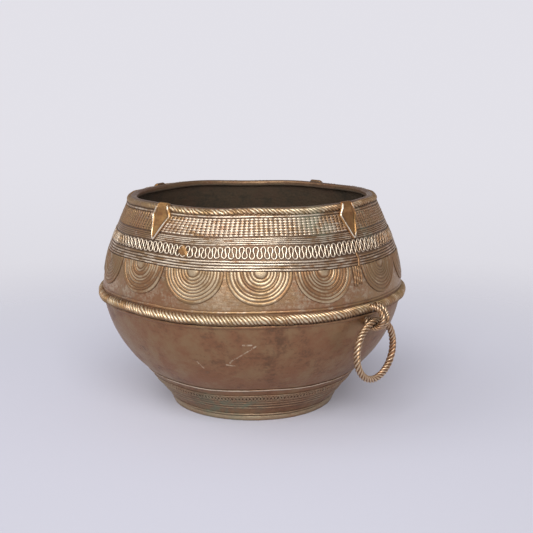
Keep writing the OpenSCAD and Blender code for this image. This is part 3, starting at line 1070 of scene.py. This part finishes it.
# Partly painted shade: this wire lies in the shoulder rope's shadow and is pitted and dull, so it takes the
# wall's brass and its crest is hardly brightened
plain_thread("shoulder_wire_lower", wall_brass, 1.8 * MM, rub=0.1, sink=-0.4 * MM, lower=0.2 * MM)
plain_thread("shoulder_wire_upper", thread_brass, 1.5 * MM, rub=0.35, sink=0.16 * MM)
plain_thread("rim_wire", thread_brass, rub=0.9)
for node in named("foot_thread"):
    plain_thread(node, foot_brass, 0.8 * MM, rub=0.25, sink=0.26 * MM)
# One line for all four neck wires, so that they stay side by side
neck_line = wobble(all_round(900), 0.06 * MM, 3, 30)
for number in (1, 2, 3, 4):
    plain_thread(f"band_wire_{number}", thread_brass, drifts=True)
    plain_thread(f"neck_wire_{number}", thread_brass, FINE_THREAD, rub=0.95, sink=0.1 * MM, line=neck_line,
                 fades=0.25 * MM)
braid(foot_brass)
rope("shoulder_rope", rope_brass, shoulder_rope_r, shoulder_r + ROPE_OUT, 259, 5, 0.58, 1.2,
     lower=0.4 * MM)
rope("rim_rope", rope_brass, rim_rope_r, outer_radius("rim_rope") - rim_rope_r, 180, 4, 0.55, 0.95,
     smooth=0.8)
meander(thread_brass)
lattice_ribs(thread_brass)
for node in named("lattice_wire"):
    plain_thread(node, thread_brass, dips=0.32 * MM, fades=0.3 * MM, steps=RIBS * 8)
for node in named("scallop"):
    scallop(node, scallop_brass)
for node in named("rim_tab"):
    rim_tab(node, tab_brass)
repair_patch(tab_brass)
thread_strip(scallop_brass)
twisted_ring("staple_strand_near", ring_brass, 1, 21, 0.5, 0.38 * MM, -0.5 * MM)
twisted_ring("staple_strand_far", ring_brass, 1, 22, 0.5, 0.22 * MM, 0.2 * MM)
twisted_ring("swing_ring", ring_brass, 0, 42, 0.52, 0.17 * MM, body="ring")


# ---- floor, light and camera --------------------------------------------------------------------


BACKDROP = (0.765, 0.755, 0.81)
FLOOR_GREY = (0.60, 0.60, 0.68)
CAMERA_TURN = -46.0
CAMERA_AWAY = 451.6 * MM
CAMERA_H = 155.9 * MM
CAMERA_DOWN = 0.1984
CAMERA_RIGHT = 0.0153
CAMERA_ROLL = -0.0029
LENS = 63.03


def soft_floor():
    """A pale floor that fades into the backdrop with distance from the bowl."""
    bpy.ops.mesh.primitive_circle_add(vertices=128, radius=3.0, fill_type="NGON", location=(0, 0, 0))
    floor = bpy.context.object
    floor.name = "floor"
    material = bpy.data.materials.new("pale_floor")
    s = Shader(material, "OutputMaterial")
    faded = s.ramp(s.vector("LENGTH", s.place), 0.06, 0.42, 0.15, 1.0)
    diffuse = s.node("BsdfDiffuse", {"Color": (*FLOOR_GREY, 1.0)}).outputs[0]
    clear = s.node("BsdfTransparent", {}).outputs[0]
    s.link(s.node("MixShader", {0: faded, 1: diffuse, 2: clear}).outputs[0], s.surface)
    floor.data.materials.append(material)


def backdrop():
    """A pale surrounding near eye level, a little darker below and to one side, and much darker overhead."""
    world = bpy.data.worlds.new("studio")
    bpy.context.scene.world = world
    s = Shader(world, "OutputWorld", "Generated")
    height = s.node("SeparateXYZ", {0: s.place}).outputs["Z"]
    side = math.radians(CAMERA_TURN + 90)
    sideways = s.vector("DOT_PRODUCT", s.place, (math.cos(side), math.sin(side), 0.0))
    overhead = s.ramp(sideways, -0.9, 0.9, 0.60, 0.44, "LINEAR")
    eye_level = s.ramp(height, -0.48, -0.06, 0.76, 1.0)
    strength = s.node("Mix", {0: s.ramp(height, 0.09, 0.36), 2: eye_level, 3: overhead}).outputs[0]
    background = s.node("Background", {"Color": (*BACKDROP, 1.0), "Strength": strength})
    s.link(background.outputs[0], s.surface)


def softbox(name, azimuth, elevation, distance, size, power):
    """A rectangular light that looks at the bowl; azimuth is counted as the bowl's angles are."""
    light = bpy.data.lights.new(name, "AREA")
    light.shape = "RECTANGLE"
    light.size, light.size_y = size
    light.energy = power
    lamp = bpy.data.objects.new(name, light)
    bpy.context.scene.collection.objects.link(lamp)
    a, e = math.radians(azimuth), math.radians(elevation)
    away = np.array([math.cos(e) * math.cos(a), math.cos(e) * math.sin(a), math.sin(e)])
    lamp.location = away * distance
    lamp.rotation_euler = Vector(away).to_track_quat("Z", "Y").to_euler()


def camera():
    """The camera stands 46 degrees round from the ring, above the rim, and looks a little down."""
    data = bpy.data.cameras.new("camera")
    data.lens = LENS
    data.sensor_width = 36
    cam = bpy.data.objects.new("camera", data)
    bpy.context.scene.collection.objects.link(cam)
    turn = math.radians(CAMERA_TURN)
    look = Matrix.Rotation(turn + math.pi / 2, 4, "Z") @ Matrix.Rotation(-CAMERA_RIGHT, 4, "Z")
    tilt = Matrix.Rotation(math.pi / 2 - CAMERA_DOWN, 4, "X") @ Matrix.Rotation(CAMERA_ROLL, 4, "Z")
    place = Matrix.Translation((CAMERA_AWAY * math.cos(turn), CAMERA_AWAY * math.sin(turn), CAMERA_H))
    cam.matrix_world = place @ look @ tilt
    bpy.context.scene.camera = cam


soft_floor()
backdrop()
softbox("front_softbox", CAMERA_TURN - 3, 42, 1.3, (1.1, 0.7), 15.0)
softbox("left_softbox", CAMERA_TURN - 75, 50, 1.3, (0.8, 0.7), 3.0)
camera()
bpy.context.scene.view_settings.view_transform = "Standard"
